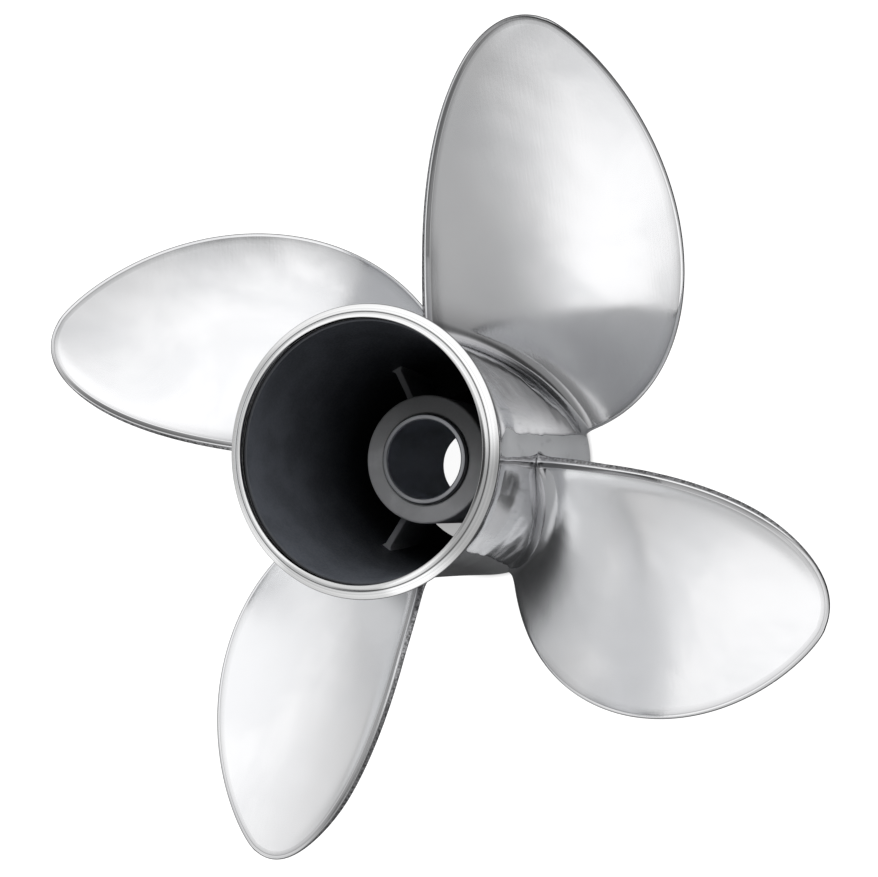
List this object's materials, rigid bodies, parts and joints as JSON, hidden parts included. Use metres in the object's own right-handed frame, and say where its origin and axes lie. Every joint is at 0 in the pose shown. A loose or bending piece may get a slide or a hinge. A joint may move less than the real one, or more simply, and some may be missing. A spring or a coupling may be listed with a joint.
{
  "type": "boat propeller",
  "caption": "Stainless boat propeller: raked helical blades on a hollow barrel whose flared ring lets the exhaust out round a ribbed inner hub.",
  "frame": {"origin": "centre of the barrel's flat front face, on the shaft axis, where the propeller stands when it is laid down", "axes": "+Z along the shaft axis, aft, towards the open exhaust ring; the blades repeat every quarter turn about it"},
  "size_m": [0.347, 0.347, 0.1497],
  "materials": {
    "polished_steel": "satin to mirror polish",
    "bright_ring_steel": "mirror polish with fine turning lines",
    "cast_hub": "matte dark casting",
    "bushing_rubber": "matte moulded rubber",
    "sleeve_metal": "machined, slightly dull"
  },
  "bodies": {
    "root": {"barrel": "polished_steel", "exhaust_ring": "bright_ring_steel", "inner_hub": "cast_hub", "rubber_bushing": "bushing_rubber", "drive_sleeve": "sleeve_metal", "rib_1": "cast_hub", "rib_2": "cast_hub", "rib_3": "cast_hub", "blade_1": "polished_steel", "blade_2": "polished_steel", "blade_3": "polished_steel", "blade_4": "polished_steel"}
  },
  "joints": []
}
